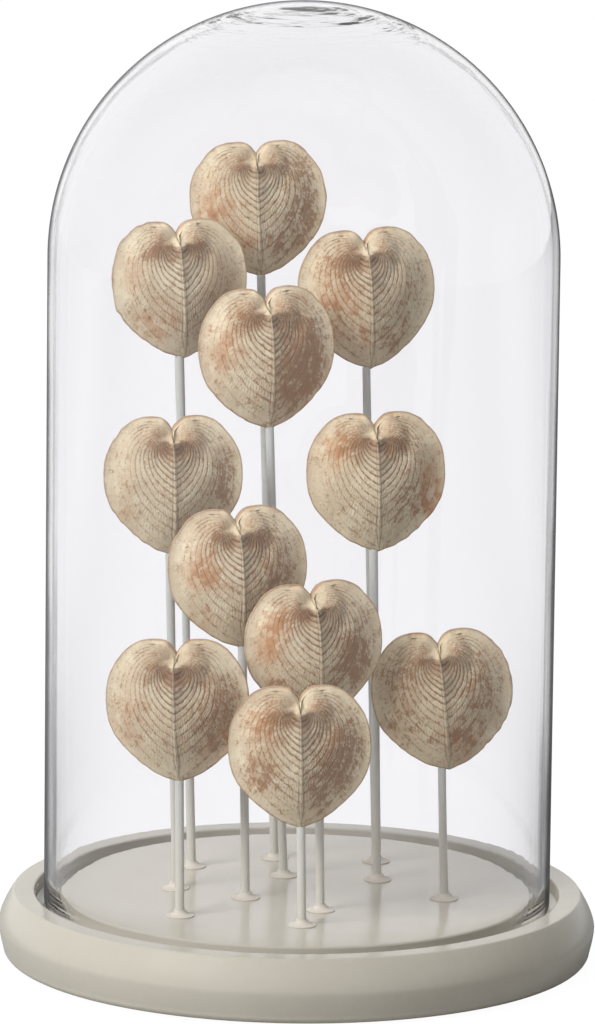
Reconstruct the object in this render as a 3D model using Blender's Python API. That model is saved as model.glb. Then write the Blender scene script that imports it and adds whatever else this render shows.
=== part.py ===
"""Glass cloche: a glass dome over eleven heart cockle shells, each on its own painted rod.

The dome stands in a groove of a turned, painted base and lifts straight off.
Metres, +Z up, front towards -Y. The origin is on the table, under the middle of the base.
"""

import math

import bmesh
import bpy
from mathutils import Matrix, Vector

# Fits
SEAT_GAP = 0.0003          # left between a piece and the piece that it rests on or in
CUT_OVERRUN = 0.004        # how far a cutter reaches past the face that it cuts
MERGE_SHARE = 0.01         # points closer than this share of the gap are one point

# Glass dome, a cylinder under half a sphere
DOME_RADIUS = 0.1018
DOME_HEIGHT = 0.3656
GLASS_WALL = 0.0022
CROWN_WALL = 0.0040        # the wall thickens towards the crown
LIP_WALL = 0.0045          # and towards the lip
LIP_BAND = 0.060           # height over which the lip's thickness dies out
LIP_FADE_SHARE = 0.7       # of it gone half way up the band

# Turned base: flat ring, groove for the dome, and a platform level with the ring
BASE_HEIGHT = 0.0255
GROOVE_DEPTH = 0.0060
LIP_ROOM_INSIDE = 0.0023   # between the dome's lip and the platform
LIP_ROOM_OUTSIDE = 0.0037  # between the dome's lip and the ring
RING_WIDTH = 0.0090
SIDE_SWELL = 0.0055        # the widest line stands this far outside the ring
WIDEST_DROP = 0.0130       # and lies this far below it
FOOT_TUCK = 0.0018         # the side draws in again by this much above the rounded foot
FOOT_ROUNDING = 0.0030
EDGE_BREAK = 0.0006        # small chamfers on the turned edges
SIDE_POWER = 1.5           # how the side curves away from its widest line

# Felt pads under the base
PAD_COUNT = 4
PAD_RADIUS = 0.0100
PAD_THICKNESS = 0.0012
PAD_INSET = 0.0100         # from the widest line to the rim of a pad
FIRST_PAD_SHARE = 0.5      # of the angle between two pads, from +X to the first

# Rods, with a thin peg at the top that a shell is pushed onto
ROD_RADIUS = 0.00175
ROD_SOCKET_DEPTH = 0.0100
PEG_RADIUS = 0.0009
PEG_LENGTH = 0.0080

# Flared collars where the rods leave the platform
COLLAR_RADIUS = 0.00565
COLLAR_HEIGHT = 0.0024
COLLAR_LIP = 0.0005
COLLAR_WALL = 0.0006       # at the top, round the rod
COLLAR_PLAY = 0.0004       # round a rod that leans a little

# Heart cockle shells: two valves that meet at a seam, each coiled round its own umbo
SHELL_REACH = 0.0454       # from an umbo straight down to the keel
UMBO_OFFSET = 0.0042       # from the seam to an umbo
FRONT_BULGE = 0.0122       # at the seam, in front of the keel
BACK_BULGE = 0.0072
KEEL_THICKNESS = 0.0012
COIL_RATE = 0.49           # how fast the coil draws in, per radian
PEAK_SHARE = 0.36          # where the bulge is highest, as a share of the way to the keel
RISE_START_SHARE = 0.8     # of the full bulge already reached close to the umbo
UMBO_HEIGHT_SHARE = 0.36   # the umbo's own height, of the bulge at the seam
UMBO_SPREAD_SHARE = 0.15   # how far out the umbo's own height fades
RIDGE_POWER = 1.0          # the bulge falls roundly along the seam
FLANK_POWER = 2.2          # and hollows out to a thin flange round the sides
FLANK_TURN = 0.9           # radians round the umbo where the flange is fully hollow
SEARCH_STEPS = 40          # halvings to find where the keel passes a place

# Where the keel leaves the plain coil: the turn and how widely it fades, in degrees, and by
# what share of the coil. A blunt tip, a full flank, a drawn-in side and a steep notch.
KEEL_FORM_SHARES = ((-5, 7, -0.020), (43, 17, 0.034), (101, 14, -0.027), (183, 16, 0.055))

# Facets
BASE_SIDES = 48
DOME_SIDES = 40
CROWN_STEPS = 8
SIDE_STEPS = 4
ROUNDING_STEPS = 2
LIP_STEPS = 4
PAD_SIDES = 16
ROD_SIDES = 10
COLLAR_SIDES = 10
COLLAR_STEPS = 2
HOLE_SIDES = 8
VALVE_RAYS = 18
FRONT_SHARES = (0.16, 0.34, 0.52, 0.72, 0.88, 1.0)
BACK_SHARES = (0.36, 0.72, 1.0)
SHARP_ANGLE = math.radians(35)

# Where the shells stand: foot across and back, tip across and back, as shares of the
# platform's radius, the tip's height as a share of the room under the crown, how far the
# shell is turned and tilted in degrees, how far beside the seam the peg sits, as a share
# of the umbo's offset, and the shell's size as a share of the one given above.
SHELL_PLACE_SHARES = (
    (-0.098, 0.542, -0.182, 0.590, 0.677, 2, 2.9, 0.0, 0.992),
    (-0.453, 0.375, -0.503, 0.375, 0.593, 9, 4.4, 0.50, 0.998),
    (0.342, 0.502, 0.293, 0.502, 0.577, 10, 4.4, 0.50, 1.015),
    (-0.058, 0.230, -0.137, 0.230, 0.520, 13, 3.0, 0.0, 1.008),
    (-0.516, 0.022, -0.529, 0.022, 0.383, 5, 1.7, 0.50, 1.002),
    (0.344, 0.186, 0.330, 0.186, 0.382, 5, 2.6, 0.50, 1.010),
    (-0.215, -0.135, -0.240, -0.135, 0.287, 11, 4.0, 0.0, 1.010),
    (0.100, -0.334, 0.083, -0.334, 0.216, 13, 4.5, 0.0, 1.002),
    (-0.485, -0.454, -0.494, -0.454, 0.151, -5, 1.5, 0.0, 1.025),
    (0.023, -0.599, 0.014, -0.599, 0.109, 3, 1.5, 0.0, 1.020),
    (0.621, -0.104, 0.637, -0.104, 0.147, 3, 6.2, 0.70, 1.018),
)

# Sizes that follow from those above
BASE_BOTTOM = PAD_THICKNESS + SEAT_GAP
PLATFORM_TOP = BASE_BOTTOM + BASE_HEIGHT
PLATFORM_RADIUS = DOME_RADIUS - LIP_WALL - LIP_ROOM_INSIDE
GROOVE_RADIUS = DOME_RADIUS + LIP_ROOM_OUTSIDE
RING_RADIUS = GROOVE_RADIUS + RING_WIDTH
BASE_RADIUS = RING_RADIUS + SIDE_SWELL
DOME_BOTTOM = PLATFORM_TOP - GROOVE_DEPTH + SEAT_GAP
CROWN_ROOM = DOME_BOTTOM + DOME_HEIGHT - CROWN_WALL - PLATFORM_TOP
SEAM_FACE = SEAT_GAP / 2
PEG_HOLE_RADIUS = (PEG_RADIUS + SEAT_GAP) / math.cos(math.pi / HOLE_SIDES)


def clear_scene():
    """Take away whatever the file opened with."""
    for thing in list(bpy.data.objects):
        bpy.data.objects.remove(thing, do_unlink=True)


def finish(name, color, roughness, metallic=0.0, alpha=1.0):
    """A plain material for one piece."""
    material = bpy.data.materials.new(name)
    material.use_nodes = True
    shader = material.node_tree.nodes["Principled BSDF"]
    shader.inputs["Base Color"].default_value = (*color, 1.0)
    shader.inputs["Roughness"].default_value = roughness
    shader.inputs["Metallic"].default_value = metallic
    shader.inputs["Alpha"].default_value = alpha
    material.diffuse_color = (*color, alpha)
    return material


def add_object(name, bm, material=None):
    """Turn a bmesh into a named object with its faces pointing out."""
    bmesh.ops.recalc_face_normals(bm, faces=bm.faces)
    mesh = bpy.data.meshes.new(name)
    bm.to_mesh(mesh)
    bm.free()
    mesh.shade_smooth()
    mesh.set_sharp_from_angle(angle=SHARP_ANGLE)
    thing = bpy.data.objects.new(name, mesh)
    bpy.context.scene.collection.objects.link(thing)
    if material:
        mesh.materials.append(material)
    else:
        thing.hide_render = True
        thing.display_type = "WIRE"
    return thing


def turned(profile, sides):
    """Spin a closed profile of (radius, height) points round Z; it may meet the axis."""
    bm = bmesh.new()
    points = [bm.verts.new((radius, 0, height)) for radius, height in profile]
    edges = []
    for first, second in zip(points, points[1:] + points[:1]):
        if first.co.x > 0 or second.co.x > 0:
            edges.append(bm.edges.new((first, second)))
    bmesh.ops.spin(bm, geom=points + edges, axis=(0, 0, 1), cent=(0, 0, 0),
                   angle=math.tau, steps=sides, use_merge=True)
    bmesh.ops.remove_doubles(bm, verts=bm.verts, dist=SEAT_GAP * MERGE_SHARE)
    return bm


def cut(thing, cutter):
    """Cut one object with another."""
    boolean = thing.modifiers.new(cutter.name, "BOOLEAN")
    boolean.operation = "DIFFERENCE"
    boolean.solver = "EXACT"
    boolean.object = cutter


def mix(start, end, share):
    """The value that lies a share of the way from start to end."""
    return start + (end - start) * share


def base_profile():
    """Half the base's section, from the middle of its underside round to the platform."""
    top = PLATFORM_TOP
    widest = top - WIDEST_DROP
    foot_top = BASE_BOTTOM + FOOT_ROUNDING
    foot_radius = BASE_RADIUS - FOOT_TUCK
    profile = [(0, BASE_BOTTOM)]
    for step in range(ROUNDING_STEPS + 1):
        angle = math.pi / 2 * step / ROUNDING_STEPS
        profile.append((foot_radius - FOOT_ROUNDING * (1 - math.sin(angle)),
                        foot_top - FOOT_ROUNDING * math.cos(angle)))
    for step in range(1, SIDE_STEPS + 1):
        share = step / SIDE_STEPS
        profile.append((BASE_RADIUS - FOOT_TUCK * (1 - share) ** SIDE_POWER,
                        mix(foot_top, widest, share)))
    for step in range(1, SIDE_STEPS):
        share = step / SIDE_STEPS
        profile.append((BASE_RADIUS - SIDE_SWELL * share ** SIDE_POWER,
                        mix(widest, top, share)))
    floor = top - GROOVE_DEPTH
    profile += [
        (RING_RADIUS, top - EDGE_BREAK),
        (RING_RADIUS - EDGE_BREAK, top),
        (GROOVE_RADIUS + EDGE_BREAK, top),
        (GROOVE_RADIUS, top - EDGE_BREAK),
        (GROOVE_RADIUS, floor),
        (PLATFORM_RADIUS, floor),
        (PLATFORM_RADIUS, top - EDGE_BREAK),
        (PLATFORM_RADIUS - EDGE_BREAK, top),
        (0, top),
    ]
    return profile


def make_base(places):
    """The turned base, with a blind hole for each rod."""
    material = finish("cream_paint", (0.66, 0.61, 0.53), 0.42)
    base = add_object("turned_base", turned(base_profile(), BASE_SIDES), material)
    holes = bmesh.new()
    for place in places:
        start = place["foot"] - place["lean"] * ROD_SOCKET_DEPTH
        add_bore(holes, start, place["lean"], ROD_RADIUS + SEAT_GAP,
                 ROD_SOCKET_DEPTH + CUT_OVERRUN)
    cut(base, add_object("rod_hole_cutter", holes))


def add_bore(bm, start, direction, radius, length):
    """Add a cylinder that leaves a clear radius all round, from start along direction."""
    turn = direction.to_track_quat("Z", "Y").to_matrix().to_4x4()
    middle = Matrix.Translation(start + direction * (length / 2))
    corner = radius / math.cos(math.pi / HOLE_SIDES)
    bmesh.ops.create_cone(bm, cap_ends=True, segments=HOLE_SIDES, radius1=corner,
                          radius2=corner, depth=length, matrix=middle @ turn)


def make_pads():
    """Round felt pads stuck under the base."""
    material = finish("felt", (0.42, 0.38, 0.33), 0.95)
    ring = BASE_RADIUS - PAD_INSET - PAD_RADIUS
    profile = [(0, 0), (PAD_RADIUS, 0), (PAD_RADIUS, PAD_THICKNESS), (0, PAD_THICKNESS)]
    for number in range(PAD_COUNT):
        angle = math.tau * (number + FIRST_PAD_SHARE) / PAD_COUNT
        pad = add_object(f"felt_pad_{number + 1}", turned(profile, PAD_SIDES), material)
        pad.location = (ring * math.cos(angle), ring * math.sin(angle), 0)


def dome_profile():
    """The dome's section: up the outside, over the crown and down the inside."""
    spring = DOME_HEIGHT - DOME_RADIUS
    outside = []
    inside = [
        (DOME_RADIUS - GLASS_WALL, LIP_BAND),
        (DOME_RADIUS - mix(LIP_WALL, GLASS_WALL, LIP_FADE_SHARE), LIP_BAND / 2),
    ]
    for step in range(CROWN_STEPS + 1):
        angle = math.pi / 2 * step / CROWN_STEPS
        wall = mix(GLASS_WALL, CROWN_WALL, (step / CROWN_STEPS) ** 2)
        across = math.cos(angle) if step < CROWN_STEPS else 0
        outside.append((DOME_RADIUS * across, spring + DOME_RADIUS * math.sin(angle)))
        inner = DOME_RADIUS - wall
        inside.insert(0, (inner * across, spring + inner * math.sin(angle)))
    rounding = LIP_WALL / 2
    lip = []
    for step in range(LIP_STEPS + 1):
        angle = math.pi * step / LIP_STEPS
        lip.append((DOME_RADIUS - rounding * (1 + math.cos(angle)),
                    rounding * (1 - math.sin(angle))))
    return lip + outside + inside


def make_dome():
    """The glass dome, carried by an empty on the axis that it lifts along."""
    axis = bpy.data.objects.new("dome_axis", None)
    bpy.context.scene.collection.objects.link(axis)
    axis.location = (0, 0, DOME_BOTTOM)
    material = finish("clear_glass", (0.93, 0.95, 0.97), 0.02, alpha=0.25)
    dome = add_object("glass_dome", turned(dome_profile(), DOME_SIDES), material)
    dome.parent = axis


def coil_radius(turn):
    """Distance from the umbo to the keel, a turn in radians away from straight down."""
    form = 1.0
    for centre, width, share in KEEL_FORM_SHARES:
        form += share * math.exp(-((math.degrees(turn) - centre) / width) ** 2)
    return SHELL_REACH * math.exp(-COIL_RATE * turn) * form


def keel_point(turn):
    """Where the keel is, across from the seam and up from the umbo."""
    radius = coil_radius(turn)
    return UMBO_OFFSET + radius * math.sin(turn), -radius * math.cos(turn)


def keel_turn(across, low, high):
    """The turn between low and high at which the keel passes a place across."""
    rising = keel_point(low)[0] < keel_point(high)[0]
    for _ in range(SEARCH_STEPS):
        middle = (low + high) / 2
        if (keel_point(middle)[0] < across) == rising:
            low = middle
        else:
            high = middle
    return (low + high) / 2


TIP_TURN = keel_turn(SEAM_FACE, -math.pi / 4, 0)
NOTCH_TURN = keel_turn(SEAM_FACE, math.pi, math.pi * 3 / 2)
TIP_DROP = -keel_point(TIP_TURN)[1]


def bulge(across, up, height):
    """How far a valve's face stands off the keel's plane at a point of its outline."""
    off_across = across - UMBO_OFFSET
    turn = math.atan2(off_across, -up)
    if turn < -math.pi / 2:
        turn += math.tau
    radius = coil_radius(turn)
    share = min(1.0, math.hypot(off_across, up) / radius)
    if share < PEAK_SHARE:
        form = mix(RISE_START_SHARE, 1, math.sin(math.pi / 2 * share / PEAK_SHARE))
    else:
        power = mix(RIDGE_POWER, FLANK_POWER, min(1.0, max(0.0, turn / FLANK_TURN)))
        fall = math.cos(math.pi / 2 * (share - PEAK_SHARE) / (1 - PEAK_SHARE))
        form = max(0.0, fall) ** power
    coil = form * radius / SHELL_REACH
    if share < UMBO_SPREAD_SHARE:
        coil = mix(UMBO_HEIGHT_SHARE, coil, math.sin(math.pi / 2 * share / UMBO_SPREAD_SHARE))
    return KEEL_THICKNESS / 2 + height * coil


def valve_face(bm, outline, shares, height, to_size):
    """One face of a valve, as rings of points from the seam out to the keel."""
    facing = -1 if height > 0 else 1
    rings = []
    for share in (0.0, *shares):
        ring = []
        for across, up in outline if share else outline[:1]:
            place = (mix(SEAM_FACE, across, share), mix(-UMBO_OFFSET, up, share))
            stand = bulge(*place, abs(height)) if share < 1 else KEEL_THICKNESS / 2
            point = Vector((place[0], facing * stand, place[1] + TIP_DROP))
            ring.append(bm.verts.new(to_size @ point))
        rings.append(ring)
    return rings


def valve_shape(side, size):
    """One valve as a closed body; side is 1 for the right valve and -1 for the left."""
    turns = [mix(TIP_TURN, NOTCH_TURN, ray / (VALVE_RAYS - 1)) for ray in range(VALVE_RAYS)]
    outline = [keel_point(turn) for turn in turns]
    outline[0] = (SEAM_FACE, outline[0][1])
    outline[-1] = (SEAM_FACE, outline[-1][1])
    bm = bmesh.new()
    to_size = Matrix.Diagonal((side * size, size, size))
    front = valve_face(bm, outline, FRONT_SHARES, FRONT_BULGE, to_size)
    back = valve_face(bm, outline, BACK_SHARES, -BACK_BULGE, to_size)
    for rings in (front, back):
        for ray in range(VALVE_RAYS - 1):
            bm.faces.new((rings[0][0], rings[1][ray], rings[1][ray + 1]))
            for inner, outer in zip(rings[1:], rings[2:]):
                bm.faces.new((inner[ray], outer[ray], outer[ray + 1], inner[ray + 1]))
    for ray in range(VALVE_RAYS - 1):
        bm.faces.new((front[-1][ray], back[-1][ray], back[-1][ray + 1], front[-1][ray + 1]))
    seam = [ring[0] for ring in reversed(front[1:])] + front[0] + [ring[-1] for ring in front[1:]]
    seam += [ring[-1] for ring in reversed(back[1:])] + back[0] + [ring[0] for ring in back[1:]]
    bm.faces.new(seam)
    return bm


def shell_places():
    """Work out each shell's frame, and the rod that carries it."""
    places = []
    for row in SHELL_PLACE_SHARES:
        foot_across, foot_back, tip_across, tip_back, height, turn, tilt, beside, size = row
        foot = Vector((foot_across * PLATFORM_RADIUS, foot_back * PLATFORM_RADIUS, PLATFORM_TOP))
        tip = Vector((tip_across * PLATFORM_RADIUS, tip_back * PLATFORM_RADIUS,
                      PLATFORM_TOP + height * CROWN_ROOM))
        frame = (Matrix.Translation(tip) @ Matrix.Rotation(math.radians(turn), 4, "Z")
                 @ Matrix.Rotation(-math.radians(tilt), 4, "Y"))
        offset = beside * UMBO_OFFSET
        lowest = max(SEAM_FACE, (offset - ROD_RADIUS) / size)
        keel_up = keel_point(keel_turn(lowest, -math.pi / 4, math.pi / 4))[1] + TIP_DROP
        shoulder = frame @ Vector((-offset, 0, keel_up * size - SEAT_GAP))
        places.append({
            "foot": foot,
            "frame": frame,
            "shoulder": shoulder,
            "lean": (shoulder - foot).normalized(),
            "beside": offset,
            "size": size,
        })
    return places


def make_rod(number, place, material):
    """A rod from its hole in the base up to the shell, ending in the peg."""
    start = place["foot"] - place["lean"] * (ROD_SOCKET_DEPTH - SEAT_GAP)
    length = (place["shoulder"] - start).length
    peg_top = length + PEG_LENGTH
    profile = [(0, 0), (ROD_RADIUS, 0), (ROD_RADIUS, length), (PEG_RADIUS, length),
               (PEG_RADIUS, peg_top), (0, peg_top)]
    rod = add_object(f"rod_{number:02d}", turned(profile, ROD_SIDES), material)
    turn = place["lean"].to_track_quat("Z", "Y").to_matrix().to_4x4()
    rod.matrix_world = Matrix.Translation(start) @ turn


def make_collar(number, place, material):
    """The trumpet-shaped collar round a rod's foot."""
    bore = (ROD_RADIUS + COLLAR_PLAY) / math.cos(math.pi / COLLAR_SIDES)
    neck = bore + COLLAR_WALL
    profile = [(bore, 0), (COLLAR_RADIUS, 0)]
    for step in range(COLLAR_STEPS + 1):
        angle = math.pi / 2 * step / COLLAR_STEPS
        profile.append((mix(COLLAR_RADIUS, neck, math.sin(angle)),
                        mix(COLLAR_LIP, COLLAR_HEIGHT, 1 - math.cos(angle))))
    profile.append((bore, COLLAR_HEIGHT))
    collar = add_object(f"collar_{number:02d}", turned(profile, COLLAR_SIDES), material)
    collar.location = place["foot"] + Vector((0, 0, SEAT_GAP))


def make_shell(number, place, material):
    """A shell's two valves, drilled for the peg."""
    drill = bmesh.new()
    start = place["shoulder"] - place["lean"] * CUT_OVERRUN
    add_bore(drill, start, place["lean"], PEG_RADIUS + SEAT_GAP,
             CUT_OVERRUN + PEG_LENGTH + SEAT_GAP)
    cutter = add_object(f"peg_hole_cutter_{number:02d}", drill)
    for word, side in (("left", -1), ("right", 1)):
        shape = valve_shape(side, place["size"])
        valve = add_object(f"shell_{number:02d}_{word}_valve", shape, material)
        valve.matrix_world = place["frame"]
        if side < 0 or place["beside"] < PEG_HOLE_RADIUS:
            cut(valve, cutter)


def main():
    clear_scene()
    places = shell_places()
    make_base(places)
    make_pads()
    make_dome()
    rod_paint = finish("rod_paint", (0.60, 0.60, 0.57), 0.45)
    collar_paint = finish("collar_paint", (0.66, 0.61, 0.53), 0.42)
    shell_lime = finish("shell", (0.62, 0.53, 0.40), 0.6)
    for number, place in enumerate(places, 1):
        make_rod(number, place, rod_paint)
        make_collar(number, place, collar_paint)
        make_shell(number, place, shell_lime)


main()
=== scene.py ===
import math
from functools import partialmethod

import bmesh
import bpy
import numpy as np
from bpy.props import FloatProperty, FloatVectorProperty, PointerProperty
from mathutils import Matrix, Vector


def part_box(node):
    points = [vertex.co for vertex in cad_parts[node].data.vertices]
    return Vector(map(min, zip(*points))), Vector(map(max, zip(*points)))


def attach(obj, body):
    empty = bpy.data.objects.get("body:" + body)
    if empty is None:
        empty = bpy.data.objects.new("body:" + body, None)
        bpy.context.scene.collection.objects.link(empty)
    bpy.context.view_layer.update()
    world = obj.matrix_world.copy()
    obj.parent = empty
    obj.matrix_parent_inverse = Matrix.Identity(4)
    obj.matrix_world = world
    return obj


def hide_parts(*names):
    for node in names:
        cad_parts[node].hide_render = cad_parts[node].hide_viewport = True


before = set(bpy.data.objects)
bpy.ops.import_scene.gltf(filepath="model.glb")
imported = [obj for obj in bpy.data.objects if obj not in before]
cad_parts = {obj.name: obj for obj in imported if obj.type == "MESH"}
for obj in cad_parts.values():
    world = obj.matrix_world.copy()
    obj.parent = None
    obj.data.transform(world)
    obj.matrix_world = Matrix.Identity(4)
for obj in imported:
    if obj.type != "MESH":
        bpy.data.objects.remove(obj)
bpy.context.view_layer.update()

bl_info = {
    "name": "Glass cloche",
    "version": (1, 0, 0),
    "blender": (4, 5, 0),
    "location": "View3D > Sidebar > Cloche",
    "description": "A glass dome over heart cockle shells on rods, with its finishes and studio",
    "category": "Object",
}

DOME_LOW, DOME_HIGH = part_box("glass_dome")
BASE_LOW, BASE_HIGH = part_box("turned_base")
PAD_LOW, PAD_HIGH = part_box("felt_pad_1")
# Between a rod's shoulder and its shell
SEAT_GAP = 0.0003

# Foot on the platform, tip, turn and tilt in degrees, size, how far beside the seam the rod
# stands, and where the shell is stained. A stain is across from the seam, up from the tip,
# its half width and half height in millimetres, then how orange and how brown it is.
SHELLS = (
    ((-0.00931, 0.05149), (-0.01729, 0.05605, 0.26794), 2, 2.9, 0.992, 0.0, (
        (-17, 27, 8, 12, 0.9, 0.0), (17, 46, 10, 7, 0.1, 0.7), (19, 25, 9, 14, 0.2, 0.8),
        (8, 13, 7, 8, 0.1, 0.6), (-8, 16, 7, 5, 0.7, 0.2))),
    ((-0.04304, 0.03563), (-0.04779, 0.03563, 0.23805), 9, 4.4, 0.998, 0.0021, (
        (-9, 45, 6, 4, 0.2, 1.0), (8, 46, 6, 4, 0.1, 0.8), (-11, 17, 8, 8, 0.85, 0.1),
        (15, 32, 8, 13, 0.2, 0.1), (-20, 36, 5, 6, 0.4, 0.0))),
    ((0.03249, 0.04769), (0.02783, 0.04769, 0.23235), 10, 4.4, 1.015, 0.0021, (
        (-10, 44, 8, 5, 0.3, 0.9), (-13, 26, 8, 15, 0.9, 0.35), (14, 31, 10, 14, 0.1, 0.3),
        (9, 12, 8, 8, 0.3, 0.6), (-4, 14, 4, 10, 0.4, 0.1))),
    ((-0.00551, 0.02185), (-0.01302, 0.02185, 0.21207), 13, 3.0, 1.008, 0.0, (
        (-9, 46, 6, 5, 0.3, 0.7), (12, 22, 12, 17, 0.8, 1.5), (-18, 34, 8, 13, 0.6, 0.1),
        (15, 40, 8, 9, 0.2, 0.6))),
    ((-0.04902, 0.00209), (-0.05026, 0.00209, 0.16331), 5, 1.7, 1.002, 0.0021, (
        (0, 44, 8, 4, 0.2, 0.9), (20, 30, 7, 14, 0.1, 0.9), (-20, 20, 7, 12, 0.3, 0.1))),
    ((0.03268, 0.01767), (0.03135, 0.01767, 0.16295), 5, 2.6, 1.010, 0.0021, (
        (-14, 43, 7, 7, 0.9, 0.1), (10, 44, 7, 6, 0.2, 0.8), (21, 22, 5, 14, 0.9, 0.1),
        (12, 22, 8, 11, 0.1, 0.7))),
    ((-0.02042, -0.01283), (-0.02280, -0.01283, 0.12914), 11, 4.0, 1.010, 0.0, (
        (-14, 33, 7, 10, 1.0, 0.1), (8, 44, 7, 5, 0.1, 0.9), (-8, 46, 5, 4, 0.3, 0.7),
        (14, 26, 10, 15, 0.4, 0.8), (-16, 12, 7, 6, 0.5, 0.3))),
    ((0.00950, -0.03173), (0.00788, -0.03173, 0.10387), 13, 4.5, 1.002, 0.0, (
        (-13, 43, 8, 5, 1.0, 0.2), (-19, 33, 5, 8, 0.9, 0.0), (-18, 15, 6, 6, 0.6, 0.9),
        (14, 26, 9, 15, 0.4, 1.1))),
    ((-0.04607, -0.04313), (-0.04693, -0.04313, 0.08074), -5, 1.5, 1.025, 0.0, (
        (0, 43, 9, 3.5, 0.2, 1.0), (14, 20, 9, 12, 0.8, 0.6), (-16, 26, 9, 12, 0.5, 0.2),
        (17, 36, 8, 9, 0.2, 0.6))),
    ((0.00218, -0.05690), (0.00133, -0.05690, 0.06579), 3, 1.5, 1.020, 0.0, (
        (-13, 43, 7, 7, 1.0, 0.5), (-15, 22, 8, 9, 0.6, 0.8), (14, 30, 10, 16, 0.35, 1.1),
        (7, 12, 6, 8, 0.2, 0.5))),
    ((0.05899, -0.00988), (0.06051, -0.00988, 0.07932), 3, 6.2, 1.018, 0.00294, (
        (7, 13, 9, 8, 0.9, 0.7), (-15, 41, 8, 7, 0.3, 0.6), (14, 35, 10, 12, 0.2, 0.7),
        (-16, 22, 8, 10, 0.3, 0.6))),
)

# A shell's outline is a coil round the umbo that draws in at this rate
COIL_RATE = 0.49
# Where the keel leaves the coil: the turn and its spread in degrees, and a share of the coil
KEEL_FORM = ((-5, 7, -0.020), (43, 17, 0.034), (101, 14, -0.027), (183, 16, 0.055))
# The ragged keel's waves: how many to a radian and how deep
KEEL_WAVES = ((2.0, 0.004), (5.0, 0.0025), (11.0, 0.0012), (47.0, 0.0010))
# A face is lowest at the umbo, rises to its peak at a share of the way from umbo to keel,
# then falls to the keel by a power that grows from the seam's ridge to the flank
UMBO_HEIGHT, UMBO_SPREAD = 0.36, 0.15
PEAK_SHARE, RISE_START = 0.36, 0.8
RIDGE_POWER, FLANK_POWER, FLANK_TURN = 1.0, 2.2, 0.9
# Where a valve stops short of the seam
SEAM_FACE = 0.00003
# Growth loops: how they crowd, and the turns at which the first and last meet the umbo
RIB_START, RIB_GROWTH = 0.5, 1.08
FIRST_LOOP_TURN, LAST_LOOP_TURN, LAST_LOOP, LOOP_POWER = math.pi * 0.5, math.pi * 1.22, 0.9, 0.55
LOOP_STEPS = 26
# The beak's rounded height and reach, and how the seam's ridge falls away towards the notch
BEAK_HEIGHT, BEAK_REACH, BEAK_BLEND = 0.74, 0.0097, 4
SADDLE_START, SADDLE_FALL = 1.15, 0.8
# The smooth hollow between the beaks: its foot, the rise over which it starts, its reach
# from the seam and its depth
HOLLOW_FOOT, HOLLOW_START, HOLLOW_REACH, HOLLOW_DEPTH = 0.0016, 0.0022, 0.0056, 0.45
# Points on a line of a valve, and lines near the umbo and beyond it, in front and behind
COLUMNS, FRONT_ROWS, BACK_ROWS = 132, (12, 74), (8, 40)
SEAM_STEPS, SAME_SHARE = 600, 1.0001
# The keel's rounded edge: its shoulders' place and thickness as shares of the keel's
SHOULDER_PLACE, SHOULDER_LIFT = 0.996, 0.8

# The photo's camera: its aim, distance, pitch, roll, lens in pixels and picture height
AIM, DISTANCE = Vector((-0.001434, 0, 0.182)), 3.25
PITCH, ROLL = math.radians(11.02), math.radians(0.65)
LENS_PIXELS, PICTURE_HEIGHT, SENSOR = 8140, 1024, 36
# The floor's half width, front and back, its glow, how much of it the glow covers, and the
# glow that is left far to the sides
FLOOR_HALF, FLOOR_FRONT, FLOOR_BACK = 2.2, -1.4, 4.2
FLOOR_GLOW, FLOOR_COVER, SIDE_GLOW = 1.13, 0.86, 0.94
# The sky through the glass away from the back, on surfaces, and what the inside gets more
SKY_ASIDE, SKY_SCATTERED, SKY_WITHIN = 0.97, 0.31, 0.56
# Name, place, size in metres and power in watts of each lamp, and where they aim
LAMPS = (("key", (-1.57, -1.32, 1.77), 1.2, 66.0), ("top", (0.2, 0.3, 2.0), 1.1, 4.0))
LAMP_AIM = Vector((0, 0, 0.17))

# Sizes of the pieces in metres: name, what it is and its value
SIZES = (
    ("glass_wall", "Wall of the dome's side", 0.0022),
    ("crown_wall", "Wall at the top of the dome", 0.0040),
    ("lower_wall", "Wall just above the lip", 0.0029),
    ("lip_wall", "Wall at the dome's lip", 0.0045),
    ("lip_height", "Height over which the lip thins", 0.014),
    ("lower_band", "Height to which the wall is a little thicker", 0.085),
    ("dome_radius", "Outside of the dome", DOME_HIGH.x),
    ("groove_depth", "Groove that the dome stands in", 0.0060),
    ("room_inside", "From the dome's lip to the platform", 0.0023),
    ("room_outside", "From the dome's lip to the ring", 0.0037),
    ("ring_width", "Flat ring round the groove", 0.0090),
    ("widest_drop", "Depth of the base's widest line below its top", 0.0130),
    ("foot_tuck", "How far the side draws in above the foot", 0.0018),
    ("foot_rounding", "Radius under the side", 0.0030),
    ("edge_break", "Radius on the turned edges", 0.0009),
    ("rod_radius", "Half the rods' thickness", 0.00175),
    ("peg_radius", "Half the thickness of a rod's top", 0.0009),
    ("peg_length", "How far a rod reaches into its shell", 0.0080),
    ("rod_bite", "How far a rod's full width reaches into its shell", 0.0010),
    ("rod_socket", "How deep a rod stands in the base", 0.0097),
    ("collar_radius", "Outside of a collar's foot", 0.00565),
    ("collar_height", "Height of a collar", 0.0024),
    ("shell_reach", "From an umbo straight down to the keel", 0.0454),
    ("umbo_offset", "From the seam to an umbo", 0.0042),
    ("front_bulge", "How far a shell swells to the front", 0.0122),
    ("back_bulge", "How far a shell swells to the back", 0.0072),
    ("keel_thickness", "Thickness at a shell's outline", 0.0012),
    ("loop_offset", "From the seam to where the growth loops meet", 0.0026),
    ("bead_top", "Half the seam bead's width at the umbones", 0.0005),
    ("bead_low", "Half the seam bead's width near the tip", 0.0009),
)
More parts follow.
